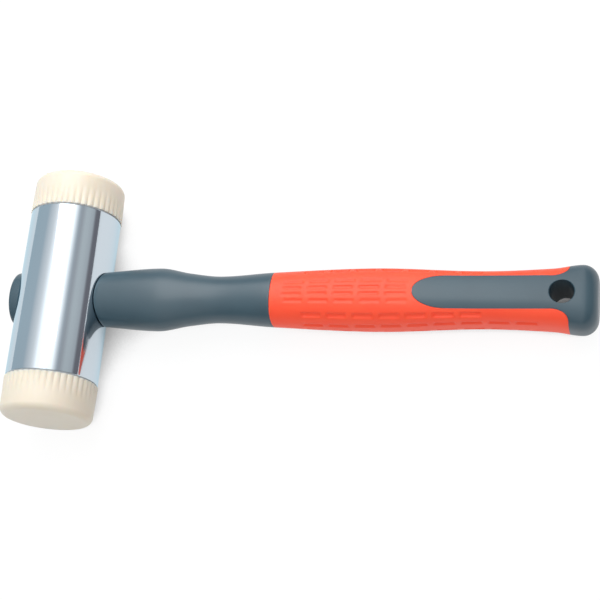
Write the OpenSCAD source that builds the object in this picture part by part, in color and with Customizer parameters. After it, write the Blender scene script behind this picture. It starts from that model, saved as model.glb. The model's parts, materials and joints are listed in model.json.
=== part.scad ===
// Soft face hammer: a chromed barrel with two screw-in nylon faces on a two-colour moulded handle.
// The hammer lies on its side on the floor, Z = 0, with the middle of its length over the origin.
// The head's axis runs along Y, and the handle points along +X.

/* [Barrel] */
// Diameter of the chromed barrel
barrel_d = 45; // [43:0.5:50]
// Length of the chromed barrel
barrel_l = 85; // [80:1:110]
// Chamfer round each end of the barrel
barrel_chamfer = 0.5; // [0.3:0.1:1.5]
// Depth of each threaded socket
socket_depth = 17; // [16:0.5:20]
// Chamfer at the mouth of a socket
socket_chamfer = 0.8; // [0.4:0.1:1.2]
// Height of the oval eye, along the barrel
eye_h = 25; // [23:0.5:28]
// Width of the oval eye, across the barrel
eye_w = 19; // [17:0.5:21]

/* [Nylon faces] */
// Length of a face outside the barrel
face_l = 18.4; // [15:0.1:25]
// How far the fluted rim stands proud of the barrel
rim_proud = 0.35; // [0:0.05:1.5]
// How much a face narrows from its rim to the striking end, on each side
face_taper = 0.55; // [0:0.05:1.2]
// Radius round the striking edge
face_fillet = 3.4; // [2:0.1:5]
// Number of flutes round the rim
flute_count = 44; // [24:1:60]
// Length of a flute
flute_l = 10; // [6:0.5:12]
// Depth of a flute at the rim
flute_depth = 0.6; // [0.3:0.05:0.9]

/* [Thread] */
// Wall of the barrel outside a spigot's thread
thread_wall = 7.5; // [6.5:0.5:9]
// Advance of the thread in one turn
thread_pitch = 5; // [4:0.25:6]
// Height of the thread ridge
thread_depth = 1.8; // [1:0.1:2.2]
// Width of the ridge at its root
thread_root_w = 2.6; // [2:0.1:2.8]
// Width of the ridge at its crest
thread_crest_w = 1.3; // [0.8:0.1:1.6]
// Length of a spigot
spigot_l = 15; // [13:0.5:15.5]
// Turns of thread on a spigot
thread_turns = 2.3; // [1.5:0.1:2.5]
// Room between a spigot and its socket
thread_clearance = 0.3; // [0.25:0.05:0.4]

/* [Washers] */
// Thickness of the washer under a face
washer_t = 0.6; // [0.4:0.1:1.5]
// How far the washer stays inside the barrel's edge
washer_inset = 0.2; // [0.1:0.1:1.5]
// Room between the washer and the thread
washer_clearance = 0.4; // [0.3:0.1:1]

/* [Core] */
// Height of the fibreglass core
core_h = 17; // [14:0.5:19]
// Width of the fibreglass core
core_w = 12; // [10:0.5:13.5]
// Distance from the end of the core to the middle of the hanging hole
core_to_hole = 22; // [15:1:60]

/* [Front plug] */
// Height of the oval plug
plug_h = 27; // [26.5:0.5:30]
// Width of the oval plug
plug_w = 21.6; // [20.5:0.1:24]
// How far the plug stands out from the barrel
plug_out = 2.7; // [1.5:0.1:5]
// Depth of the pocket for the plug's head, from the side of the barrel
plug_pocket = 5; // [4:0.5:7]
// Length of the plug's tail inside the eye
plug_tail = 3.5; // [2:0.5:6]
// Radius round the plug's edge
plug_edge = 1.5; // [0.8:0.1:2.5]
// Room round the plug
plug_clearance = 0.15; // [0.1:0.05:0.3]

/* [Handle lengths] */
// Gap between the barrel and the collar's hollow end
collar_gap = 0.4; // [0.1:0.1:1]
// How far the handle reaches into the eye
tenon_l = 10; // [6:0.5:12]
// Collar, from the side of the barrel to the bulge
collar_l = 28.1; // [20:0.1:40]
// From the bulge to the neck
fall_l = 31; // [24:0.5:45]
// From the neck to the front of the grip
neck_l = 27.6; // [18:0.1:38]
// From the front of the grip to its belly
grip_rise_l = 48.4; // [38:0.1:70]
// From the belly to the rear waist
grip_fall_l = 53; // [40:0.5:70]
// From the rear waist to the butt
butt_rise_l = 42.3; // [35:0.1:60]
// Radius round the butt
butt_r = 7; // [4:0.5:9]

/* [Handle heights] */
// Height at the collar's end
collar_h = 27.3; // [26:0.1:32]
// Height at the bulge
bulge_h = 31.2; // [29:0.1:36]
// Height at the neck
neck_h = 22.6; // [21:0.1:26]
// Height at the front of the grip
grip_h = 26.1; // [24:0.1:29]
// Height at the grip's belly
belly_h = 28.7; // [26:0.1:33]
// Height at the rear waist
waist_h = 25; // [23:0.1:28]
// Height at the butt
butt_h = 31.1; // [28:0.1:37]

/* [Handle widths] */
// Width at the collar's end
collar_w = 21.4; // [20:0.1:26]
// Width at the bulge
bulge_w = 23.4; // [21:0.1:28]
// Width at the neck
neck_w = 20; // [18:0.1:24]
// Width at the front of the grip
grip_w = 24; // [21:0.1:27]
// Width at the grip's belly
belly_w = 27.8; // [24:0.1:30]
// Width at the rear waist
waist_w = 25; // [21:0.1:27]
// Width at the butt
butt_w = 25; // [22:0.1:29]

/* [Grip] */
// Thickness of the soft grip
grip_t = 2.2; // [1.2:0.1:2.6]
// Grey cap at the butt that the grip leaves bare
butt_cap_l = 12.7; // [10:0.1:20]
// Length of a tongue, from the cap to its tip
tongue_l = 70.1; // [55:0.1:85]
// Width of a tongue
tongue_w = 15.8; // [14.5:0.1:18]
// Length of a tongue's rounded tip
tip_l = 14.5; // [8:0.5:18]
// Length over which a tongue widens into the cap
flare_l = 8; // [6:0.5:12]
// Diameter of the hanging hole
hole_d = 11; // [8:0.5:12]
// Distance from the middle of the hanging hole to the end of the handle
hole_inset = 15.6; // [14.5:0.1:20]
// Chamfer round the hanging hole
hole_chamfer = 0.8; // [0.4:0.1:1.2]

/* [Hidden] */
$fn = 96;

// How far every cut runs past the surface that it opens
overrun = 1;
// How far the thread ridge is rooted in its spigot, and the tenon in the collar
root_sink = 0.5;
tenon_sink = 4;

// Soft corners of the handle's outline, between its named sizes
fall_place_share = 0.5;
fall_drop_share = 0.62;
flare_place_share = 0.69;
flare_rise_share = 0.4;
// Share of the half height that a tongue reaches where it joins the cap
cap_reach_share = 0.87;
// Power of the handle's rounded section, at the front and at the rear: 2 is an ellipse, more is squarer
front_power = 2.1;
rear_power = 2.8;

// Steps round an oval, along a thread and round an edge
oval_steps = 40;
turn_steps = 24;
edge_steps = 4;
fillet_steps = 8;
// Rings of the handle's surface in each stretch of its length
collar_steps = 5;
fall_steps = 8;
neck_steps = 4;
front_steps = 8;
tip_steps = 5;
tongue_steps = 6;
flare_steps = 5;
cap_steps = 2;
// Columns of the handle's surface in a quarter: over the tongue, and beside it
tongue_columns = 4;
side_columns = 7;
// Angle at which a tongue's blunt tip begins
tip_angle = 8;
// Angle over which the thread ridge rises at its ends, and extra angle of the groove
thread_ramp = 50;
groove_lead = 25;

// Barrel and eye
barrel_r = barrel_d / 2;
barrel_end = barrel_l / 2;
thread_r = barrel_r - thread_wall;
spigot_r = thread_r - thread_depth;
socket_r = spigot_r + thread_clearance;
rim_r = barrel_r + rim_proud;
striking_r = rim_r - face_taper;
washer_r = barrel_r - washer_inset;
pocket_x = plug_pocket - barrel_r;
tail_x = pocket_x + plug_tail;

// Places along the handle, from the head's axis
collar_x = barrel_r + collar_gap;
saddle_x = sqrt(pow(collar_x, 2) - pow(collar_w / 2, 2)) - overrun;
tenon_x = collar_x - tenon_l;
bulge_x = collar_x + collar_l;
neck_x = bulge_x + fall_l;
grip_x = neck_x + neck_l;
belly_x = grip_x + grip_rise_l;
waist_x = belly_x + grip_fall_l;
butt_x = waist_x + butt_rise_l;
end_x = butt_x + butt_r;
cap_x = end_x - butt_cap_l;
flare_x = cap_x - flare_l;
tip_x = cap_x - tongue_l;
hole_x = end_x - hole_inset;
core_x = hole_x - core_to_hole;

// The hammer rests on the rims of its faces and on its butt, or on the waist or the belly where that is lower
function rest_angle(x, w) = asin(rim_r / norm([x, w / 2])) - atan2(w / 2, x);
lay_angle = min(rest_angle(butt_x, butt_w), rest_angle(waist_x, waist_w), rest_angle(belly_x, belly_w));
butt_corner_z = butt_w / 2 - butt_r;
plug_corner_z = plug_w / 2 - plug_edge;
plug_corner_x = barrel_r + plug_out - plug_edge;
last_x = butt_x * cos(lay_angle) + butt_corner_z * sin(lay_angle) + butt_r;
first_x = -plug_corner_x * cos(lay_angle) - plug_corner_z * sin(lay_angle) - plug_edge;
head_place = [-(first_x + last_x) / 2, 0, rim_r];

// Lays the hammer down, from the frame of the head's axis and the handle to the floor
module laid() {
    translate(head_place) rotate([0, lay_angle, 0]) children();
}

// Turns a shape that is made along Z to one end of the head, and moves it to the barrel's end
module at_upper_end() {
    rotate([-90, 0, 0]) translate([0, 0, barrel_end]) children();
}

module at_lower_end() {
    rotate([90, 0, 0]) translate([0, 0, barrel_end]) children();
}

// Turns a shape that is made along Z to lie along the handle
module along_handle() {
    rotate([90, 0, 90]) children();
}

// Value at a share of the way from a to b
function between(a, b, share) = a + (b - a) * share;

// Places from a to b in equal steps, without a itself
function places(a, b, count) = [for (k = [1 : count]) between(a, b, k / count)];

// Points of an arc
function arc(centre, r, from, to, count) =
    [for (k = [0 : count]) let (angle = between(from, to, k / count)) centre + r * [cos(angle), sin(angle)]];

// Outline of an oval, h high and w wide
function oval(h, w) =
    [for (k = [0 : oval_steps - 1]) [h / 2 * cos(360 * k / oval_steps), w / 2 * sin(360 * k / oval_steps)]];

// Two triangles of a four-sided patch
function patch(q, flip) = flip
    ? [[q[0], q[2], q[1]], [q[0], q[3], q[2]]]
    : [[q[0], q[1], q[2]], [q[0], q[2], q[3]]];

// Solid through rings of points, with as many columns in each ring and a flat end at each side.
// flip says that the columns run anticlockwise, seen from the last ring.
module loft(points, columns, flip) {
    last = len(points) / columns - 1;
    sides = [for (i = [0 : last - 1]) for (j = [0 : columns - 1])
        each patch([for (c = [[0, 0], [0, 1], [1, 1], [1, 0]])
            (i + c[0]) * columns + (j + c[1]) % columns], flip)];
    onward = [for (j = [0 : columns - 1]) j];
    backward = [for (j = onward) columns - 1 - j];
    first_end = flip ? onward : backward;
    last_end = [for (j = flip ? backward : onward) last * columns + j];
    polyhedron(points, concat(sides, [first_end, last_end]));
}

// Oval bar along the handle, from one place to another
module oval_bar(h, w, from, to) {
    translate([from, 0, 0]) along_handle() linear_extrude(to - from) polygon(oval(h, w));
}

// Thread: a ridge that climbs round Z, from one angle to another, with its crest sunk at ramped ends
function ridge_rise(angle, from, to, ramp) =
    ramp > 0 ? min(1, (angle - from) / ramp, (to - angle) / ramp) : 1;

module thread_ridge(from, to, inner_r, outer_r, sunk_r, root_w, crest_w, ramp) {
    count = ceil((to - from) / 360 * turn_steps);
    points = [for (k = [0 : count])
        let (angle = between(from, to, k / count))
        let (crest_r = between(sunk_r, outer_r, ridge_rise(angle, from, to, ramp)))
        let (climb = thread_pitch * angle / 360)
        for (p = [[inner_r, -root_w], [crest_r, -crest_w], [crest_r, crest_w], [inner_r, root_w]])
            [p[0] * cos(angle), p[0] * sin(angle), climb + p[1] / 2]];
    loft(points, 4, false);
}

// The thread on a spigot starts above its tip and ends below its shoulder. Zero height is the barrel's end.
thread_start = 360 * (thread_root_w - spigot_l) / thread_pitch;
thread_stop = thread_start + 360 * thread_turns;
groove_stop = 360 * (thread_root_w + overrun) / thread_pitch;

module spigot_thread() {
    thread_ridge(thread_start, thread_stop, spigot_r - root_sink, thread_r, spigot_r - root_sink / 2,
        thread_root_w, thread_crest_w, thread_ramp);
}

module socket_groove() {
    slack = 2 * thread_clearance;
    thread_ridge(thread_start - groove_lead, groove_stop, spigot_r - root_sink,
        thread_r + thread_clearance, spigot_r, thread_root_w + slack, thread_crest_w + slack, 0);
}

// Threaded socket, as a solid to cut from the end of the barrel
module socket() {
    translate([0, 0, -socket_depth]) cylinder(h = socket_depth + overrun, r = socket_r);
    translate([0, 0, -socket_chamfer])
        cylinder(h = socket_chamfer, r1 = socket_r, r2 = socket_r + socket_chamfer);
    socket_groove();
}

// Chromed steel barrel with the eye for the handle, the plug's pocket and the two sockets
module head_barrel() {
    inner = barrel_r - barrel_chamfer;
    shoulder = barrel_end - barrel_chamfer;
    color("lightsteelblue") laid() difference() {
        rotate([-90, 0, 0]) rotate_extrude() polygon([[0, -barrel_end], [inner, -barrel_end],
            [barrel_r, -shoulder], [barrel_r, shoulder], [inner, barrel_end], [0, barrel_end]]);
        oval_bar(eye_h, eye_w, -barrel_r - overrun, barrel_r + overrun);
        oval_bar(plug_h + 2 * plug_clearance, plug_w + 2 * plug_clearance, -barrel_r - overrun, pocket_x);
        at_upper_end() socket();
        at_lower_end() socket();
    }
}

// Nylon face: a slightly tapered head with flutes that fade out and a round striking edge,
// on a threaded spigot
module nylon_face() {
    top = washer_t + face_l;
    taper_angle = atan2(face_taper, face_l);
    edge = arc([striking_r - face_fillet, top - face_fillet], face_fillet, taper_angle, 90, fillet_steps);
    fade = [between(rim_r, striking_r, flute_l / face_l), washer_t + flute_l];
    columns = 2 * flute_count;
    loft([for (p = concat([[rim_r, washer_t], fade], edge)) for (k = [0 : columns - 1])
        let (r = p[1] == washer_t && k % 2 == 1 ? p[0] - flute_depth : p[0])
        [r * cos(360 * k / columns), r * sin(360 * k / columns), p[1]]], columns, true);
    translate([0, 0, -spigot_l]) cylinder(h = spigot_l + washer_t + root_sink, r = spigot_r);
    spigot_thread();
}

module upper_face() {
    color("antiquewhite") laid() at_upper_end() nylon_face();
}

module lower_face() {
    color("antiquewhite") laid() at_lower_end() nylon_face();
}

// Thin washer between a face and the barrel
module face_washer() {
    difference() {
        cylinder(h = washer_t, r = washer_r);
        translate([0, 0, -overrun])
            cylinder(h = washer_t + 2 * overrun, r = thread_r + washer_clearance);
    }
}

module upper_washer() {
    color("dimgray") laid() at_upper_end() face_washer();
}

module lower_washer() {
    color("dimgray") laid() at_lower_end() face_washer();
}

// Fibreglass core, from the plug's tail to a little short of the hanging hole
module core_rod() {
    color("khaki") laid() oval_bar(core_h, core_w, tail_x, core_x);
}

// Epoxy that fills the eye round the core
module eye_bond() {
    color("goldenrod") laid() difference() {
        oval_bar(eye_h, eye_w, tail_x, tenon_x);
        oval_bar(core_h, core_w, tail_x - overrun, tenon_x + overrun);
    }
}

// Handle outline: place, half height and half width at each station
stations = [
    [collar_x, collar_h / 2, collar_w / 2],
    [bulge_x, bulge_h / 2, bulge_w / 2],
    [between(bulge_x, neck_x, fall_place_share), between(bulge_h, neck_h, fall_drop_share) / 2,
        between(bulge_w, neck_w, fall_drop_share) / 2],
    [neck_x, neck_h / 2, neck_w / 2],
    [grip_x, grip_h / 2, grip_w / 2],
    [belly_x, belly_h / 2, belly_w / 2],
    [waist_x, waist_h / 2, waist_w / 2],
    [between(waist_x, butt_x, flare_place_share), between(waist_h, butt_h, flare_rise_share) / 2,
        between(waist_w, butt_w, flare_rise_share) / 2],
    [butt_x, butt_h / 2, butt_w / 2]];
last_station = len(stations) - 1;

// A smooth curve through the stations that never overshoots them. c is 1 for heights and 2 for widths.
function rise(k, c) = (stations[k + 1][c] - stations[k][c]) / (stations[k + 1][0] - stations[k][0]);
function mean_rise(a, b) = a * b <= 0 ? 0 : 2 * a * b / (a + b);
function slope(k, c) = k == 0 ? rise(0, c) : k == last_station ? 0 : mean_rise(rise(k - 1, c), rise(k, c));
function span_at(x) = max([for (k = [0 : last_station - 1]) x >= stations[k][0] ? k : 0]);
function half_size(x, c) =
    let (k = span_at(x), l = stations[k + 1][0] - stations[k][0], t = min(1, (x - stations[k][0]) / l))
    stations[k][c] * (1 + 2 * t) * pow(1 - t, 2) + stations[k + 1][c] * t * t * (3 - 2 * t)
        + l * slope(k, c) * t * pow(1 - t, 2) - l * slope(k + 1, c) * t * t * (1 - t);

// Rings of the handle's surface: place, inset from the outline, and half width of the tongue's columns
tongue_half = tongue_w / 2;
tip_half = tongue_half * sin(tip_angle);
tip_ring_x = tip_x + tip_l * (1 - cos(tip_angle));
cap_half = cap_reach_share * half_size(cap_x, 1);
shank_rings = [
    [saddle_x, 0, tongue_half],
    for (x = places(saddle_x, bulge_x, collar_steps)) [x, 0, tongue_half],
    for (x = places(bulge_x, neck_x, fall_steps)) [x, 0, tongue_half],
    for (x = places(neck_x, grip_x, neck_steps)) [x, 0, tongue_half]];
front_rings = [for (share = places(0, 1, front_steps))
    [between(grip_x, tip_ring_x, share), 0, between(tongue_half, tip_half, share)]];
tip_rings = [for (angle = places(tip_angle, 90, tip_steps))
    [tip_x + tip_l * (1 - cos(angle)), 0, tongue_half * sin(angle)]];
tongue_rings = [
    for (x = places(tip_x + tip_l, flare_x, tongue_steps)) [x, 0, tongue_half],
    for (angle = places(0, 90, flare_steps))
        [flare_x + flare_l * sin(angle), 0, between(tongue_half, cap_half, 1 - cos(angle))]];
cap_rings = [
    for (x = places(cap_x, butt_x, cap_steps)) [x, 0, cap_reach_share * half_size(x, 1)],
    for (angle = places(0, 90, edge_steps))
        let (inset = butt_r * (1 - cos(angle)))
        [butt_x + butt_r * sin(angle), inset, cap_reach_share * (butt_h / 2 - inset)]];
rings = concat(shank_rings, front_rings, tip_rings, tongue_rings, cap_rings);
grip_ring = len(shank_rings) - 1;
tip_ring = grip_ring + len(front_rings);
cap_ring = tip_ring + len(tip_rings) + len(tongue_rings);
last_ring = len(rings) - 1;

// Columns run round the section from the middle of the top tongue, in four quarters
quarter = tongue_columns + side_columns;
columns = 4 * quarter;
function column_angle(p, edge) = p <= tongue_columns
    ? between(90, edge, p / tongue_columns)
    : between(edge, 0, (p - tongue_columns) / side_columns);
function section_power(x) =
    between(front_power, rear_power, min(1, max(0, (x - grip_x) / (waist_x - grip_x))));
function surface_point(ring, j, depth) =
    let (h = half_size(ring[0], 1) - ring[1], w = half_size(ring[0], 2) - ring[1])
    let (power = section_power(ring[0]))
    let (q = floor(j / quarter), r = j % quarter, p = q % 2 == 0 ? r : quarter - r)
    let (angle = column_angle(p, acos(pow(ring[2] / h, power / 2))))
    let (side = q < 2 ? 1 : -1, up = q == 0 || q == 3 ? 1 : -1)
    [ring[0], side * (h - depth) * pow(cos(angle), 2 / power), up * (w - depth) * pow(sin(angle), 2 / power)];

// Cells of the surface that the soft grip covers: all round in front of the tongues, then beside them
function on_tongue(j) =
    floor(j / quarter) % 2 == 0 ? j % quarter < tongue_columns : j % quarter >= side_columns;
function covered(i, j) = i >= grip_ring && i < cap_ring && (i < tip_ring || !on_tongue(j));

handle_points = [for (depth = [0, grip_t]) for (ring = rings) for (j = [0 : columns - 1])
    surface_point(ring, j, depth)];
inner_start = len(rings) * columns;
function outer(i, j) = i * columns + j % columns;
function inner(i, j) = inner_start + outer(i, j);
function outer_cell(i, j) = [outer(i, j), outer(i, j + 1), outer(i + 1, j + 1), outer(i + 1, j)];
function inner_cell(i, j) = [inner(i, j), inner(i, j + 1), inner(i + 1, j + 1), inner(i + 1, j)];

// Walls between the grip's edge and the shank, all round the grip's outline
function cross_wall(i, j) = [outer(i, j), outer(i, j + 1), inner(i, j + 1), inner(i, j)];
function long_wall(i, j) = [outer(i, j), inner(i, j), inner(i + 1, j), outer(i + 1, j)];
function walls(flip) = [
    for (i = [grip_ring : cap_ring]) for (j = [0 : columns - 1]) each concat(
        covered(i - 1, j) == covered(i, j) ? [] : patch(cross_wall(i, j), covered(i - 1, j) != flip),
        covered(i, (j + columns - 1) % columns) == covered(i, j) ? []
            : patch(long_wall(i, j), !covered(i, j) != flip))];

// Slate grey moulding, without its bores
module shank_shell() {
    cells = [for (i = [0 : last_ring - 1]) for (j = [0 : columns - 1])
        each patch(covered(i, j) ? inner_cell(i, j) : outer_cell(i, j), false)];
    front = [for (j = [columns - 1 : -1 : 0]) outer(0, j)];
    back = [for (j = [0 : columns - 1]) outer(last_ring, j)];
    polyhedron(handle_points, concat(cells, walls(false), [front, back]));
}

// Hanging hole with a chamfer at each end, as a solid to cut from the butt
module hanging_hole() {
    half = half_size(hole_x, 2);
    translate([hole_x, 0, -half - overrun]) cylinder(h = 2 * (half + overrun), d = hole_d);
    for (turn = [0, 180])
        rotate([turn, 0, 0]) translate([hole_x, 0, half - hole_chamfer])
            cylinder(h = hole_chamfer + overrun, d1 = hole_d, d2 = hole_d + 2 * (hole_chamfer + overrun));
}

// Space for the barrel, as a solid that hollows the collar's end
module saddle() {
    rotate([90, 0, 0]) cylinder(h = barrel_l, r = collar_x, center = true);
}

// Handle: collar, bulge, neck, the body under the grip, the tongues and the butt, on a tenon in the eye
module handle_shank() {
    color("slategray") laid() difference() {
        union() {
            difference() {
                shank_shell();
                saddle();
            }
            oval_bar(eye_h, eye_w, tenon_x, collar_x + tenon_sink);
        }
        oval_bar(core_h, core_w, tenon_x - overrun, core_x);
        hanging_hole();
    }
}

// Soft grip moulded over the shank, with a window for each tongue
module grip_sleeve() {
    cells = [for (i = [grip_ring : cap_ring - 1]) for (j = [0 : columns - 1]) if (covered(i, j))
        each concat(patch(outer_cell(i, j), false), patch(inner_cell(i, j), true))];
    color("tomato") laid() polyhedron(handle_points, concat(cells, walls(true)));
}

// Oval plug that closes the eye: a low head with a round edge in its pocket, on a tail in the eye
module front_plug() {
    face_x = -barrel_r - plug_out;
    heads = [[pocket_x, 0], for (k = [0 : edge_steps])
        let (angle = 90 * k / edge_steps)
        [face_x + plug_edge * (1 - sin(angle)), plug_edge * (1 - cos(angle))]];
    points = [for (p = heads) for (q = oval(plug_h - 2 * p[1], plug_w - 2 * p[1])) [p[0], q[0], q[1]]];
    color("slategray") laid() {
        loft(points, oval_steps, false);
        oval_bar(eye_h, eye_w, pocket_x - root_sink, tail_x);
    }
}

head_barrel();
upper_face();
lower_face();
upper_washer();
lower_washer();
core_rod();
eye_bond();
handle_shank();
grip_sleeve();
front_plug();
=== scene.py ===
"""Soft face hammer lying on its side: a chromed barrel with two screw-in nylon faces, and a moulded
handle with a soft grip."""

import json
from math import acos, atan2, cos, hypot, pi, radians, sin, sqrt, tau

import bmesh
import bpy
from mathutils import Matrix, Vector


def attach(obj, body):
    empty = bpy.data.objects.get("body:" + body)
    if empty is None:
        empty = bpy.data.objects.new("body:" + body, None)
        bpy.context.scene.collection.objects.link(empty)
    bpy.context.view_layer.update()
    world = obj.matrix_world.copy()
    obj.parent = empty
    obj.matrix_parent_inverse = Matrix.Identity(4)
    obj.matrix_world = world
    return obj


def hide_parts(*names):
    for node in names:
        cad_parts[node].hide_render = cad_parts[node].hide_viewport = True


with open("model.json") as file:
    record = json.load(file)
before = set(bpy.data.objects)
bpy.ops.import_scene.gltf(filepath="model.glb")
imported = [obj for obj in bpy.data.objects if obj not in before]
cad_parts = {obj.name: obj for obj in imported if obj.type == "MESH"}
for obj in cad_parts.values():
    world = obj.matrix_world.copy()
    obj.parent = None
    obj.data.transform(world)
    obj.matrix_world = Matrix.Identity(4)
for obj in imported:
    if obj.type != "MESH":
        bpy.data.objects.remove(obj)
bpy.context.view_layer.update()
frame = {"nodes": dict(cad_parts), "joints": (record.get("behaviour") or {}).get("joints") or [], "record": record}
scene = bpy.context.scene
scene.view_settings.view_transform = "Standard"

# The camera.
# A long lens looks down on the hammer from beyond the butt, a little from the lower face's side.
camera_place = Vector((0.2068, -0.2150, 0.6107))
camera_aim = Vector((0.0041, 0.0, 0.018))
camera_roll = radians(-40.9)
camera = bpy.data.objects.new("camera", bpy.data.cameras.new("camera"))
camera.data.sensor_width = 36.0
camera.data.lens = 84.03
aimed = (camera_aim - camera_place).to_track_quat("-Z", "Y").to_matrix().to_4x4()
camera.matrix_world = Matrix.Translation(camera_place) @ aimed @ Matrix.Rotation(camera_roll, 4, "Z")
scene.collection.objects.link(camera)
scene.camera = camera


# The studio.
# A white table under one long softbox, between pale walls that the chrome mirrors as bands.
def colour(hex_code):
    """Linear colour of an sRGB hex code."""
    shares = [int(hex_code[k:k + 2], 16) / 255 for k in (1, 3, 5)]
    return [s / 12.92 if s <= 0.04045 else ((s + 0.055) / 1.055) ** 2.4 for s in shares] + [1.0]


def add(tree, kind, inputs=None, **settings):
    """Adds a shader node with its settings, and fills each input with a value or links it to a socket."""
    node = tree.nodes.new("ShaderNode" + kind)
    for name, value in settings.items():
        setattr(node, name, value)
    for name, value in (inputs or {}).items():
        if isinstance(value, bpy.types.NodeSocket):
            tree.links.new(value, node.inputs[name])
        else:
            node.inputs[name].default_value = value
    return node


def new_material(name):
    """A material with its node tree and its shader."""
    made = bpy.data.materials.new(name)
    made.use_nodes = True
    return made, made.node_tree, made.node_tree.nodes["Principled BSDF"]


def shown(tree):
    """1 for rays that show the background itself: to the camera, or by way of metal or glass."""
    path = add(tree, "LightPath").outputs
    mirrored = add(tree, "Math", {0: path["Is Glossy Ray"], 1: path["Is Transmission Ray"]},
                   operation="MAXIMUM").outputs[0]
    return add(tree, "Math", {0: path["Is Camera Ray"], 1: mirrored}, operation="MAXIMUM").outputs[0]


table_size = 4.0
table_glow = 1.07
table_glow_share = 0.85
# How far the shade reaches, and the share of open sky at which it is full and at which it ends
table_shade = 0.030
shade_full = 0.02
shade_none = 0.42
bm = bmesh.new()
bmesh.ops.create_grid(bm, x_segments=1, y_segments=1, size=table_size / 2)
table_mesh = bpy.data.meshes.new("table")
bm.to_mesh(table_mesh)
bm.free()
table = bpy.data.objects.new("table", table_mesh)
scene.collection.objects.link(table)
# Matt white laminate: it glows to plain white in the picture, apart from the shade that gathers under
# the hammer.
laminate, tree, shader = new_material("white_laminate")
shader.inputs["Base Color"].default_value = colour("#DEDEDE")
shader.inputs["Roughness"].default_value = 0.8
shader.inputs["Specular IOR Level"].default_value = 0.2
open_sky = add(tree, "AmbientOcclusion", {"Distance": table_shade})
glow_level = add(tree, "MapRange", {"Value": open_sky.outputs["AO"], "From Min": shade_full,
                                    "From Max": shade_none, "To Max": table_glow})
glow = add(tree, "Emission", {"Color": colour("#FFFFFF"), "Strength": glow_level.outputs[0]})
lit = add(tree, "MixShader", {0: table_glow_share, 1: shader.outputs[0], 2: glow.outputs[0]})
top = add(tree, "MixShader", {0: shown(tree), 1: shader.outputs[0], 2: lit.outputs[0]})
tree.links.new(top.outputs[0], tree.nodes["Material Output"].inputs["Surface"])
table_mesh.materials.append(laminate)

# A long softbox above the head lights the top of the hammer.
softbox = bpy.data.objects.new("softbox", bpy.data.lights.new("softbox", "AREA"))
softbox.data.shape = "RECTANGLE"
softbox.data.size = 0.25
softbox.data.size_y = 0.50
softbox.data.energy = 0.86
softbox.location = (-0.100, 0.22, 0.42)
softbox.rotation_euler = (-softbox.location).to_track_quat("-Z", "Y").to_euler()
scene.collection.objects.link(softbox)

# The walls run in bands along the head, given as degrees from straight up towards the butt and linear
# colours. They dim towards the lower face. A colour ramp stops at 1, so it holds the colours divided by
# the gain.
world = bpy.data.worlds.new("studio")
scene.world = world
world.use_nodes = True
tree = world.node_tree
tree.nodes.clear()
way = add(tree, "SeparateXYZ", {0: add(tree, "TexCoord").outputs["Generated"]}).outputs
turn = add(tree, "Math", {0: way["X"], 1: way["Z"]}, operation="ARCTAN2")
share = add(tree, "MapRange", {"Value": turn.outputs[0], "From Min": -pi, "From Max": pi})
walls = add(tree, "ValToRGB", {0: share.outputs[0]})
bands = [(-95, 0.50, 0.59, 0.64), (-52, 0.50, 0.59, 0.64), (-45, 0.66, 0.70, 0.73), (-37, 0.80, 0.82, 0.84),
         (-29, 0.96, 0.96, 0.96), (-22, 1.25, 1.25, 1.25), (-15, 1.75, 1.75, 1.75), (22, 1.75, 1.75, 1.75),
         (28, 1.20, 1.20, 1.20), (32, 0.80, 0.83, 0.86), (37, 0.50, 0.53, 0.56), (43, 0.48, 0.49, 0.51),
         (53, 0.63, 0.66, 0.67), (61, 0.62, 0.65, 0.66), (73, 0.54, 0.56, 0.58), (79, 0.22, 0.21, 0.23),
         (95, 0.20, 0.19, 0.21)]
band_gain = 2.0
fill = 0.60
dim_end = -0.7
bright_end = 0.25
for place in range(len(bands) - 2):
    walls.color_ramp.elements.new(0.5)
for stop, (degrees, *tone) in zip(walls.color_ramp.elements, bands):
    stop.position = (degrees + 180) / 360
    stop.color = [t / band_gain for t in tone] + [1.0]
depth = add(tree, "MapRange", {"Value": way["Y"], "From Min": dim_end, "From Max": bright_end,
                               "To Min": fill * band_gain, "To Max": band_gain})
studio = add(tree, "Background", {"Color": walls.outputs["Color"], "Strength": depth.outputs[0]})
backdrop = add(tree, "Background", {"Color": colour("#FFFFFF"), "Strength": 1.0})
camera_ray = add(tree, "LightPath").outputs["Is Camera Ray"]
sky = add(tree, "MixShader", {0: camera_ray, 1: studio.outputs[0], 2: backdrop.outputs[0]})
add(tree, "OutputWorld", {"Surface": sky.outputs[0]})


# The barrel.
# A turned steel barrel, chromed and polished, with a threaded socket at each end and an oval eye
# through its middle for the handle.
barrel_r = 22.5
barrel_end = 42.5
barrel_edge = 0.5
barrel_steps = 240
socket_depth = 17.0
socket_mouth = 0.8
spigot_r = 13.2
thread_depth = 1.8
thread_pitch = 5.0
thread_root = 2.6
thread_crest = 1.3
thread_room = 0.3
thread_steps = 48
spigot_l = 15.0
ridge_sink = 0.5
groove_lead = 1.5
eye_h = 25.0
eye_w = 19.0
plug_h = 27.0
plug_w = 21.6
plug_room = 0.15
pocket_depth = 5.0
overrun = 1.0
weld = 0.0005

# Each piece is modelled in millimetres, with the head's axis along Y and the handle along +X, and is then
# laid down. The faces' screw joints give the head's place, and the hanging hole gives the handle's lean.
mm = 0.001
head = Vector(next(j["pos_m"] for j in frame["joints"] if j["name"] == "upper_face_turn"))
hole_axis = next(m["axis"] for m in frame["record"]["mounts"] if m["name"] == "hanging_hole")
lean = atan2(hole_axis[0], hole_axis[2])
laid = Matrix.Translation(head) @ Matrix.Rotation(lean, 4, "Y") @ Matrix.Scale(mm, 4)
# The lower end is the upper end turned over about the handle.
ends = {"upper": Matrix(), "lower": Matrix.Rotation(pi, 4, "X")}


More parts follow.
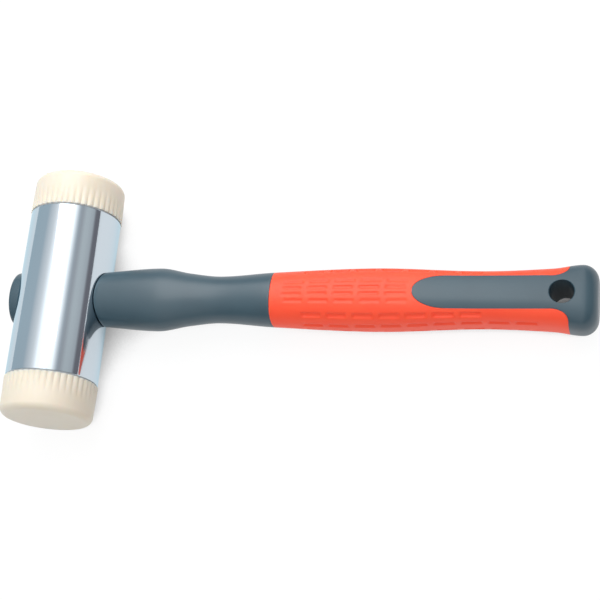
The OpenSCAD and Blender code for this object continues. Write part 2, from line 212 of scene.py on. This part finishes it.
def turned(bm, profile, steps):
    """Spins a profile of radii and heights about the head's axis."""
    points = [bm.verts.new((r, y, 0)) for r, y in profile]
    lines = [bm.edges.new(pair) for pair in zip(points, points[1:])]
    bmesh.ops.spin(bm, geom=points + lines, cent=(0, 0, 0), axis=(0, 1, 0), angle=tau, steps=steps,
                   use_merge=True)
    bmesh.ops.remove_doubles(bm, verts=bm.verts, dist=weld)


def rounded(bm, r, y, size, segments):
    """Rounds the turned edge at a radius and a height."""
    near = 0.01
    edges = [e for e in bm.edges if all(abs(hypot(v.co.x, v.co.z) - r) < near and abs(v.co.y - y) < near
                                        for v in e.verts)]
    bmesh.ops.bevel(bm, geom=edges, offset=size, affect="EDGES", segments=segments, profile=0.5, material=-1)


def ridge(bm, start, turns, inner, outer, root, crest):
    """Winds a right-hand thread ridge up the head's axis, from a height and through some turns."""
    section = [(inner, -root), (outer, -crest), (outer, crest), (inner, root)]
    points = [bm.verts.new((r, start + w / 2, 0)) for r, w in section]
    end = bm.faces.new(points)
    steps = round(turns * thread_steps)
    bmesh.ops.spin(bm, geom=[end], cent=(0, 0, 0), axis=(0, 1, 0), angle=turns * tau, steps=steps,
                   dvec=(0, thread_pitch * turns / steps, 0))


def oval_bar(bm, h, w, start, end):
    """An oval bar along the handle."""
    ring = bmesh.ops.create_circle(bm, segments=80, radius=0.5, cap_ends=True)["verts"]
    lie = Matrix(((0, 0, 1, start), (h, 0, 0, 0), (0, w, 0, 0), (0, 0, 0, 1)))
    bmesh.ops.transform(bm, matrix=lie, verts=ring)
    out = bmesh.ops.extrude_face_region(bm, geom=list(ring[0].link_faces))["geom"]
    far_ring = [g for g in out if isinstance(g, bmesh.types.BMVert)]
    bmesh.ops.translate(bm, vec=(end - start, 0, 0), verts=far_ring)


def body(name, bm):
    """A closed mesh object from a bmesh, still in the hammer's own frame."""
    bmesh.ops.recalc_face_normals(bm, faces=bm.faces)
    mesh = bpy.data.meshes.new(name)
    bm.to_mesh(mesh)
    bm.free()
    made = bpy.data.objects.new(name, mesh)
    scene.collection.objects.link(made)
    return made


def carve(piece, tool, operation):
    """Joins a tool body to a piece or cuts it away, and keeps the result as the piece's own mesh."""
    boolean = piece.modifiers.new("carve", "BOOLEAN")
    boolean.object = tool
    boolean.operation = operation
    boolean.solver = "EXACT"
    seen = piece.evaluated_get(bpy.context.evaluated_depsgraph_get())
    piece.data = bpy.data.meshes.new_from_object(seen)
    piece.modifiers.clear()
    bpy.data.objects.remove(tool)


def finish(piece, material, sharp=35):
    """Lays a piece down in the model's frame, and smooths all but its sharp edges."""
    piece.data.transform(laid)
    piece.data.shade_smooth()
    piece.data.set_sharp_from_angle(angle=radians(sharp))
    piece.data.materials.clear()
    piece.data.materials.append(material)


socket_r = spigot_r + thread_room
socket_floor = barrel_end - socket_depth
half_profile = [(0, socket_floor), (socket_r, socket_floor), (socket_r, barrel_end - socket_mouth),
                (socket_r + socket_mouth, barrel_end), (barrel_r, barrel_end)]
bm = bmesh.new()
turned(bm, half_profile + [(r, -y) for r, y in reversed(half_profile)], barrel_steps)
for end in (barrel_end, -barrel_end):
    rounded(bm, barrel_r, end, barrel_edge, segments=5)
barrel = body("barrel", bm)
for turn_over in ends.values():
    bm = bmesh.new()
    start = barrel_end - spigot_l + thread_root / 2 - groove_lead
    turns = (barrel_end + 2 * thread_root - start) / thread_pitch
    ridge(bm, start, turns, spigot_r - ridge_sink, spigot_r + thread_depth + thread_room,
          thread_root + 2 * thread_room, thread_crest + 2 * thread_room)
    bmesh.ops.transform(bm, matrix=turn_over, verts=bm.verts)
    carve(barrel, body("groove", bm), "DIFFERENCE")
bm = bmesh.new()
oval_bar(bm, eye_h, eye_w, -barrel_r - overrun, barrel_r + overrun)
carve(barrel, body("eye", bm), "DIFFERENCE")
bm = bmesh.new()
oval_bar(bm, plug_h + 2 * plug_room, plug_w + 2 * plug_room, -barrel_r - overrun, pocket_depth - barrel_r)
carve(barrel, body("pocket", bm), "DIFFERENCE")

# Bright chrome plate on turned and buffed steel: a mirror, a little blue where it turns away, with a faint
# haze. The last of the turning lines are drawn half a millimetre apart, coarser than they are, so that
# they show.
chrome, tree, shader = new_material("chrome_plate")
at = add(tree, "TexCoord").outputs["Object"]
haze = add(tree, "TexNoise", {"Vector": at, "Scale": 1 / (9 * mm), "Detail": 3.0})
polish = add(tree, "MapRange", {"Value": haze.outputs["Fac"], "To Min": 0.05, "To Max": 0.11})
lines = add(tree, "Mapping", {"Vector": at, "Scale": (1 / (30 * mm), 1 / (0.5 * mm), 1 / (30 * mm))})
turning = add(tree, "TexNoise", {"Vector": lines.outputs[0], "Scale": 1.0, "Detail": 2.0})
ripple = add(tree, "Bump", {"Height": turning.outputs["Fac"], "Strength": 0.15, "Distance": 0.002 * mm})
wave = add(tree, "TexNoise", {"Vector": at, "Scale": 1 / (14 * mm), "Detail": 1.0})
swell = add(tree, "Bump", {"Height": wave.outputs["Fac"], "Normal": ripple.outputs[0], "Strength": 0.12,
                           "Distance": 0.02 * mm})
shader.inputs["Base Color"].default_value = colour("#C8D2DA")
shader.inputs["Metallic"].default_value = 1.0
shader.inputs["Specular Tint"].default_value = colour("#DDF1F9")
tree.links.new(polish.outputs[0], shader.inputs["Roughness"])
tree.links.new(swell.outputs[0], shader.inputs["Normal"])
finish(barrel, chrome)
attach(barrel, "hammer")
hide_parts("head_barrel")


# The washers.
# A thin grey fibre washer, stamped from sheet, sits under each face and comes away with it.
washer_t = 0.6
washer_in = 15.4
washer_out = 22.3
# Vulcanised fibre, pressed from cotton paper: matt grey, with small flecks that are drawn coarser than
# they are, so that they show.
fibre, tree, shader = new_material("vulcanised_fibre")
at = add(tree, "TexCoord").outputs["Object"]
fleck = add(tree, "TexNoise", {"Vector": at, "Scale": 1 / (0.8 * mm), "Detail": 4.0})
tone = add(tree, "ValToRGB", {0: fleck.outputs["Fac"]})
tone.color_ramp.elements[0].color = colour("#9A9EA0")
tone.color_ramp.elements[1].color = colour("#B0B3B5")
tree.links.new(tone.outputs["Color"], shader.inputs["Base Color"])
shader.inputs["Roughness"].default_value = 0.7
for side, turn_over in ends.items():
    bm = bmesh.new()
    bottom, top = barrel_end, barrel_end + washer_t
    turned(bm, [(washer_in, bottom), (washer_out, bottom), (washer_out, top), (washer_in, top),
                (washer_in, bottom)], steps=160)
    bmesh.ops.transform(bm, matrix=turn_over, verts=bm.verts)
    washer = body(side + "_fibre_washer", bm)
    finish(washer, fibre)
    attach(washer, side + "_washer")
    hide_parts(side + "_washer")


# The nylon faces.
# Ivory nylon, moulded with a fluted grip round the rim and turned flat on the striking end.
# A coarse thread on the spigot screws each face into its socket.
face_l = 18.4
rim_r = 22.85
striking_r = 22.3
striking_edge = 3.4
flute_count = 44
flute_l = 10.0
flute_depth = 0.6
flute_rows = 10
flute_steps = 8
flute_fade = 0.8
spigot_edge = 0.6
thread_turns = 2.3
feed_marks = 1.8
wave_turns = 20 / tau
seat = barrel_end + washer_t
# Ivory nylon, moulded, with a turned striking end: satin and a little see-through, so that light softens
# its edges. The tool's feed marks and the skin's grain are drawn coarser than they are, so that they show.
nylon, tree, shader = new_material("moulded_nylon")
at = add(tree, "TexCoord").outputs["Object"]
cloud = add(tree, "TexNoise", {"Vector": at, "Scale": 1 / (16 * mm), "Detail": 3.0})
tone = add(tree, "ValToRGB", {0: cloud.outputs["Fac"]})
tone.color_ramp.elements[0].position = 0.3
tone.color_ramp.elements[0].color = colour("#E8DDCA")
tone.color_ramp.elements[1].position = 0.7
tone.color_ramp.elements[1].color = colour("#ECE2D1")
centred = add(tree, "Mapping", {"Vector": at, "Location": (-head.x, 0, -head.z)})
rings = add(tree, "TexWave", {"Vector": centred.outputs[0], "Scale": 1 / (feed_marks * mm * wave_turns),
                              "Distortion": 0.4, "Detail": 2.0}, wave_type="RINGS", rings_direction="Y")
grain = add(tree, "TexNoise", {"Vector": at, "Scale": 1 / (0.5 * mm), "Detail": 2.0})
tool_marks = add(tree, "Bump", {"Height": rings.outputs["Fac"], "Strength": 0.25, "Distance": 0.01 * mm})
skin = add(tree, "Bump", {"Height": grain.outputs["Fac"], "Normal": tool_marks.outputs[0], "Strength": 0.2,
                          "Distance": 0.02 * mm})
gloss = add(tree, "MapRange", {"Value": cloud.outputs["Fac"], "To Min": 0.36, "To Max": 0.5})
tree.links.new(tone.outputs["Color"], shader.inputs["Base Color"])
tree.links.new(gloss.outputs[0], shader.inputs["Roughness"])
tree.links.new(skin.outputs[0], shader.inputs["Normal"])
shader.inputs["IOR"].default_value = 1.53
shader.inputs["Subsurface Weight"].default_value = 0.5
shader.inputs["Subsurface Radius"].default_value = (1.0, 0.75, 0.5)
shader.inputs["Subsurface Scale"].default_value = 4 * mm
for side, turn_over in ends.items():
    bm = bmesh.new()
    rises = [flute_l * k / flute_rows for k in range(flute_rows + 1)]
    wall = [(rim_r + (striking_r - rim_r) * rise / face_l, seat + rise) for rise in rises]
    turned(bm, [(0, barrel_end - spigot_l), (spigot_r, barrel_end - spigot_l), (spigot_r, seat)] + wall
           + [(striking_r, seat + face_l), (0, seat + face_l)], flute_count * flute_steps)
    rounded(bm, striking_r, seat + face_l, striking_edge, segments=10)
    rounded(bm, spigot_r, barrel_end - spigot_l, spigot_edge, segments=2)
    for v in bm.verts:
        r, fade = hypot(v.co.x, v.co.z), 1 - (v.co.y - seat) / flute_l
        if r > washer_in and 0 < fade <= 1 + weld:
            valley = 1 - abs(cos(atan2(v.co.z, v.co.x) * flute_count / 2))
            cut = flute_depth * valley * min(1, fade) ** flute_fade
            v.co.x, v.co.z = v.co.x * (r - cut) / r, v.co.z * (r - cut) / r
    bmesh.ops.transform(bm, matrix=turn_over, verts=bm.verts)
    face = body(side + "_nylon_face", bm)
    bm = bmesh.new()
    ridge(bm, barrel_end - spigot_l + thread_root, thread_turns, spigot_r - ridge_sink,
          spigot_r + thread_depth, thread_root, thread_crest)
    bmesh.ops.transform(bm, matrix=turn_over, verts=bm.verts)
    carve(face, body("thread", bm), "UNION")
    finish(face, nylon)
    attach(face, side + "_face")
    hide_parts(side + "_face")


# The core and its bond.
# A pultruded fibreglass rod runs down the handle, and amber epoxy fixes it in the barrel's eye. Both keep
# the meshes of their solids, because the other pieces hide them.

# Pultruded fibreglass: pale straw, with glass strands along the rod that are drawn coarser than they are,
# so that they show.
fibreglass, tree, shader = new_material("pultruded_fibreglass")
at = add(tree, "TexCoord").outputs["Object"]
drawn = add(tree, "Mapping", {"Vector": at, "Scale": (1 / (40 * mm), 1 / (0.6 * mm), 1 / (0.6 * mm))})
strands = add(tree, "TexNoise", {"Vector": drawn.outputs[0], "Scale": 1.0, "Detail": 4.0})
tone = add(tree, "ValToRGB", {0: strands.outputs["Fac"]})
tone.color_ramp.elements[0].color = colour("#C4B57E")
tone.color_ramp.elements[1].color = colour("#E6DDB4")
tree.links.new(tone.outputs["Color"], shader.inputs["Base Color"])
shader.inputs["Roughness"].default_value = 0.45
frame["nodes"]["core_rod"].data.materials.clear()
frame["nodes"]["core_rod"].data.materials.append(fibreglass)

# Cast epoxy: amber, glossy and a little cloudy.
epoxy, tree, shader = new_material("cast_epoxy")
at = add(tree, "TexCoord").outputs["Object"]
cloud = add(tree, "TexNoise", {"Vector": at, "Scale": 1 / (4 * mm), "Detail": 2.0})
tone = add(tree, "ValToRGB", {0: cloud.outputs["Fac"]})
tone.color_ramp.elements[0].color = colour("#A87B2C")
tone.color_ramp.elements[1].color = colour("#C89A48")
tree.links.new(tone.outputs["Color"], shader.inputs["Base Color"])
shader.inputs["Roughness"].default_value = 0.2
frame["nodes"]["eye_bond"].data.materials.clear()
frame["nodes"]["eye_bond"].data.materials.append(epoxy)


# The handle.
# Slate grey nylon moulded over the core: a collar hollowed to the barrel, a bulge, a neck, and a butt with
# a hanging hole. A tongue of it shows through the grip on each broad side.
tenon_x = 12.9
collar_x = 22.9
bulge_x = 51.0
neck_x = 82.0
grip_x = 109.6
belly_x = 158.0
waist_x = 211.0
butt_x = 253.3
butt_r = 7.0
end_x = butt_x + butt_r
cap_l = 12.7
cap_x = end_x - cap_l
flare_l = 8.0
flare_bend = 1.4
flare_x = cap_x - flare_l
tongue_l = 70.1
tip_x = cap_x - tongue_l
tip_l = 14.5
tip_bend = 1.2
tip_blunt = radians(8)
tongue_half = 7.9
cap_reach = 0.87
collar_edge = 0.4
round_share = 0.3
hollow_l = 20.0
border_edge = 0.3
grip_t = 2.2
front_power = 2.1
rear_power = 2.8
# Place along the handle, half height and half width, with soft corners behind the bulge and before the butt
stations = [(collar_x, 13.65, 10.7), (bulge_x, 15.6, 11.7), (66.5, 12.93, 10.65), (neck_x, 11.3, 10.0),
            (grip_x, 13.05, 12.0), (belly_x, 14.35, 13.9), (waist_x, 12.5, 12.5), (240.2, 13.72, 12.5),
            (butt_x, 15.55, 12.5)]


def slope(k, column):
    """Rise of the handle's outline at a station, flat at each peak and hollow."""
    rises = [(b[column] - a[column]) / (b[0] - a[0]) for a, b in zip(stations, stations[1:])]
    if k == 0:
        return rises[0]
    if k == len(rises) or rises[k - 1] * rises[k] <= 0:
        return 0
    return 2 * rises[k - 1] * rises[k] / (rises[k - 1] + rises[k])


def outline(x, column):
    """Half height or half width of the handle at a place, on a smooth curve through the stations."""
    k = max(j for j, station in enumerate(stations[:-1]) if j == 0 or x >= station[0])
    start, end = stations[k], stations[k + 1]
    length = end[0] - start[0]
    t = min(1, (x - start[0]) / length)
    return (start[column] * (1 + 2 * t) * (1 - t) ** 2 + end[column] * t * t * (3 - 2 * t)
            + length * slope(k, column) * t * (1 - t) ** 2 - length * slope(k + 1, column) * t * t * (1 - t))


def handle_ring(x, tongue=tongue_half, inset=0, hollow=0):
    """A ring of the handle's skin: place, half height, half width, power of its rounded section, half width
    of the tongue's columns, and how far it bends round the barrel."""
    rear_share = min(1, max(0, (x - grip_x) / (waist_x - grip_x)))
    power = front_power + (rear_power - front_power) * rear_share
    return x, outline(x, 1) - inset, outline(x, 2) - inset, power, tongue, hollow


def ring_point(ring, share, tongue_share):
    """A point of a ring, at a share of the way round from the middle of the top tongue."""
    x, h, w, power, tongue, hollow = ring
    quarter, part = divmod(share * 4, 1)
    part = part if quarter % 2 == 0 else 1 - part
    edge = acos((tongue / h) ** (power / 2))
    if part <= tongue_share:
        angle = pi / 2 + (edge - pi / 2) * part / tongue_share
    else:
        angle = edge * (1 - part) / (1 - tongue_share)
    y = h * max(0, cos(angle)) ** (2 / power) * (1 if quarter < 2 else -1)
    z = w * max(0, sin(angle)) ** (2 / power) * (1 if quarter in (0, 3) else -1)
    return Vector((x - hollow * (x - sqrt(x * x - z * z)), y, z))


def spaced(start, end, count):
    """Equal steps from a start to an end, without the start."""
    return [start + (end - start) * (k + 1) / count for k in range(count)]


def grip_rings(step):
    """Rings of the grip's stretch in steps of about a length, and the number of rings ahead of the tongue."""
    tip_half = tongue_half * sin(tip_blunt)
    tip_ring = tip_x + tip_l * (1 - cos(tip_blunt))
    cap_half = cap_reach * outline(cap_x, 1)
    ahead = [handle_ring(grip_x + (tip_ring - grip_x) * s, tongue_half + (tip_half - tongue_half) * s)
             for s in [0] + spaced(0, 1, round((tip_ring - grip_x) / step))]
    tip = [handle_ring(tip_x + tip_l * (1 - cos(a)), tongue_half * sin(a))
           for a in spaced(tip_blunt, pi / 2, round(tip_bend * tip_l / step))]
    tip_end = tip_x + tip_l
    sides = [handle_ring(x) for x in spaced(tip_end, flare_x, round((flare_x - tip_end) / step))]
    flare = [handle_ring(flare_x + flare_l * sin(a), tongue_half + (cap_half - tongue_half) * (1 - cos(a)))
             for a in spaced(0, pi / 2, round(flare_bend * flare_l / step))]
    return ahead + tip + sides + flare, len(ahead) - 1


def tube(bm, rings, columns, tongue_share):
    """Skins the rings. Returns each face with its ring and whether it lies on a tongue's columns."""
    last = len(rings) - 1
    bmesh.ops.create_grid(bm, x_segments=last, y_segments=columns, size=1)
    cells = []
    for f in bm.faces:
        middle = f.calc_center_median()
        quarter, part = divmod((middle.y + 1) * 2, 1)
        part = part if quarter % 2 == 0 else 1 - part
        cells.append((f, int((middle.x + 1) / 2 * last), part < tongue_share))
    for v in bm.verts:
        i = round((v.co.x + 1) / 2 * last)
        share = round((v.co.y + 1) / 2 * columns) % columns / columns
        v.co = ring_point(rings[i], share, tongue_share)
    return cells


shank_columns = 160
shank_share = 0.4
shank_step = 1.2
oval_power = 2
under_grip, ahead_count = grip_rings(shank_step)
tenon = [(tenon_x, eye_h / 2, eye_w / 2, oval_power, tongue_half, 0),
         (collar_x, eye_h / 2, eye_w / 2, oval_power, tongue_half, 1)]
collar = [handle_ring(collar_x, inset=collar_edge, hollow=1),
          handle_ring(collar_x + round_share * collar_edge, inset=round_share * collar_edge, hollow=1)]
front_x = collar_x + collar_edge
front = [handle_ring(x, hollow=max(0, 1 - (x - collar_x) / hollow_l))
         for x in [front_x] + spaced(front_x, grip_x, round((grip_x - front_x) / shank_step))]
cap = [handle_ring(x, cap_reach * outline(x, 1)) for x in spaced(cap_x, butt_x, count=5)]
butt = [handle_ring(butt_x + butt_r * sin(a), cap_reach * (outline(butt_x, 1) - butt_r * (1 - cos(a))),
                    butt_r * (1 - cos(a))) for a in spaced(0, pi / 2, count=10)]
grip_start = len(tenon + collar + front) - 1
grip_end = grip_start + len(under_grip) - 1
bm = bmesh.new()
cells = tube(bm, tenon + collar + front + under_grip[1:] + cap + butt, shank_columns, shank_share)
covered = {f for f, i, on_tongue in cells
           if grip_start <= i < grip_end and not (on_tongue and i >= grip_start + ahead_count)}
bmesh.ops.remove_doubles(bm, verts=bm.verts, dist=weld)
bmesh.ops.holes_fill(bm, edges=[e for e in bm.edges if e.is_boundary])
bm.normal_update()
border = [e for e in bm.edges if sum(f in covered for f in e.link_faces) == 1]
sunk = bmesh.ops.extrude_face_region(bm, geom=list(covered))["geom"]
bmesh.ops.delete(bm, geom=list(covered), context="FACES")
bm.normal_update()
for v in [g for g in sunk if isinstance(g, bmesh.types.BMVert)]:
    v.co -= v.normal * grip_t
bmesh.ops.bevel(bm, geom=border, offset=border_edge, affect="EDGES", segments=2, profile=0.5, material=-1)
shank = body("moulded_handle", bm)

hole_x = 244.7
hole_r = 5.5
hole_edge = 0.4
half = outline(hole_x, 2)
mouth = [(hole_r, half - hole_edge), (hole_r + hole_edge + overrun, half + overrun), (0, half + overrun)]
bm = bmesh.new()
turned(bm, mouth[::-1] + [(r, -y) for r, y in mouth], steps=96)
stand = Matrix.Translation((hole_x, 0, 0)) @ Matrix.Rotation(pi / 2, 4, "X")
bmesh.ops.transform(bm, matrix=stand, verts=bm.verts)
carve(shank, body("hole", bm), "DIFFERENCE")

# Slate grey nylon, moulded in a spark-eroded tool: a satin skin that spreads the highlights. Its grain
# is drawn coarser than it is, so that it shows.
slate, tree, shader = new_material("moulded_nylon_slate")
at = add(tree, "TexCoord").outputs["Object"]
cloud = add(tree, "TexNoise", {"Vector": at, "Scale": 1 / (22 * mm), "Detail": 4.0})
tone = add(tree, "ValToRGB", {0: cloud.outputs["Fac"]})
tone.color_ramp.elements[0].position = 0.3
tone.color_ramp.elements[0].color = colour("#304955")
tone.color_ramp.elements[1].position = 0.7
tone.color_ramp.elements[1].color = colour("#36505C")
spark = add(tree, "TexNoise", {"Vector": at, "Scale": 1 / (0.45 * mm), "Detail": 2.0})
skin = add(tree, "Bump", {"Height": spark.outputs["Fac"], "Strength": 0.25, "Distance": 0.03 * mm})
gloss = add(tree, "MapRange", {"Value": cloud.outputs["Fac"], "To Min": 0.32, "To Max": 0.40})
tree.links.new(tone.outputs["Color"], shader.inputs["Base Color"])
tree.links.new(gloss.outputs[0], shader.inputs["Roughness"])
tree.links.new(skin.outputs[0], shader.inputs["Normal"])
shader.inputs["IOR"].default_value = 1.60
finish(shank, slate)
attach(shank, "hammer")
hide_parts("handle_shank")


# The grip.
# Soft orange-red rubber moulded over the handle, with a window for each tongue. Rows of short slots are
# moulded into it ahead of the tongues and along its sides.
grip_columns = 200
grip_share = 0.3
lip_edge = 0.35
lining_room = 0.1
slot_pitch = 12.4
slot_l = 9.8
slot_wall = 0.5
slot_rings = 20
# Angle from the middle of a broad side at the first and the last slot, width and depth of a slot, middle of
# the first slot, and number of slots
slot_rows = [(6.7, 6.7, 1.95, 0.45, 120.4, 5), (20.5, 20.5, 1.95, 0.45, 121.4, 5),
             (49.5, 47.5, 2.7, 0.75, 129.9, 7), (77.0, 69.0, 2.5, 0.75, 129.9, 9)]


def slot_at(point):
    """Depth of the slots at a point of the grip."""
    angle = atan2(abs(point.y), abs(point.z))
    reach = hypot(point.y, point.z)
    deepest = 0
    for front, rear, width, depth, first, count in slot_rows:
        k = min(count - 1, max(0, round((point.x - first) / slot_pitch)))
        along = slot_l / 2 - abs(point.x - first - k * slot_pitch)
        across = width / 2 - reach * abs(angle - radians(front + (rear - front) * k / (count - 1)))
        inside = max(0, min(1, along / slot_wall, across / slot_wall))
        deepest = max(deepest, depth * inside * inside * (3 - 2 * inside))
    return deepest


rings, ahead_count = grip_rings(slot_pitch / slot_rings)
bm = bmesh.new()
cells = tube(bm, rings, grip_columns, grip_share)
windows = [f for f, i, on_tongue in cells if on_tongue and i >= ahead_count]
bmesh.ops.delete(bm, geom=windows, context="FACES")
bmesh.ops.remove_doubles(bm, verts=bm.verts, dist=weld)
bm.normal_update()
lips = [e for e in bm.edges if e.is_boundary]
outside = list(bm.verts)
slots = [v.normal * slot_at(v.co) for v in outside]
normals = {tuple(v.co): v.normal.copy() for v in outside}
lining = bmesh.ops.extrude_face_region(bm, geom=list(bm.faces), use_keep_orig=True)["geom"]
for v in [g for g in lining if isinstance(g, bmesh.types.BMVert)]:
    v.co -= normals[tuple(v.co)] * (grip_t - lining_room)
for v, slot in zip(outside, slots):
    v.co -= slot
bmesh.ops.bevel(bm, geom=lips, offset=lip_edge, affect="EDGES", segments=3, profile=0.5, material=-1)
grip = body("rubber_grip", bm)

# Thermoplastic rubber, moulded over the handle: a dense orange-red with a soft satin skin, whose grain is
# drawn coarser than it is so that it shows. The small red emission is painted light: a faint glow that keeps
# the red bright on its shaded side.
rubber, tree, shader = new_material("moulded_rubber")
at = add(tree, "TexCoord").outputs["Object"]
cloud = add(tree, "TexNoise", {"Vector": at, "Scale": 1 / (18 * mm), "Detail": 4.0})
tone = add(tree, "ValToRGB", {0: cloud.outputs["Fac"]})
tone.color_ramp.elements[0].position = 0.3
tone.color_ramp.elements[0].color = colour("#F54C25")
tone.color_ramp.elements[1].position = 0.7
tone.color_ramp.elements[1].color = colour("#F9532B")
grain = add(tree, "TexNoise", {"Vector": at, "Scale": 1 / (0.4 * mm), "Detail": 2.0})
skin = add(tree, "Bump", {"Height": grain.outputs["Fac"], "Strength": 0.3, "Distance": 0.03 * mm})
gloss = add(tree, "MapRange", {"Value": cloud.outputs["Fac"], "To Min": 0.44, "To Max": 0.54})
tree.links.new(tone.outputs["Color"], shader.inputs["Base Color"])
tree.links.new(gloss.outputs[0], shader.inputs["Roughness"])
tree.links.new(skin.outputs[0], shader.inputs["Normal"])
shader.inputs["IOR"].default_value = 1.55
shader.inputs["Subsurface Weight"].default_value = 0.3
shader.inputs["Subsurface Radius"].default_value = (1.0, 0.3, 0.2)
shader.inputs["Subsurface Scale"].default_value = 1 * mm
# Painted light: a faint red glow, so that the rubber stays bright in its own shade.
shader.inputs["Emission Color"].default_value = colour("#FF2A10")
shader.inputs["Emission Strength"].default_value = 0.12
finish(grip, rubber, sharp=60)
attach(grip, "hammer")
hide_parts("grip_sleeve")


# The plug.
# The same slate grey nylon closes the eye at the front: a low oval button pressed into its pocket.
plug_edge = 1.5
plug_out = 2.7
plug_face = -barrel_r - plug_out
pocket_x = pocket_depth - barrel_r
tail_l = 3.5
tail_sink = 0.5
bm = bmesh.new()
oval_bar(bm, plug_h, plug_w, pocket_x, plug_face)
rim = [e for e in bm.edges if all(abs(v.co.x - plug_face) < weld for v in e.verts)]
bmesh.ops.bevel(bm, geom=rim, offset=plug_edge, affect="EDGES", segments=5, profile=0.5, material=-1)
plug = body("front_button", bm)
bm = bmesh.new()
oval_bar(bm, eye_h, eye_w, pocket_x - tail_sink, pocket_x + tail_l)
carve(plug, body("tail", bm), "UNION")
finish(plug, slate)
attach(plug, "hammer")
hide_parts("front_plug")
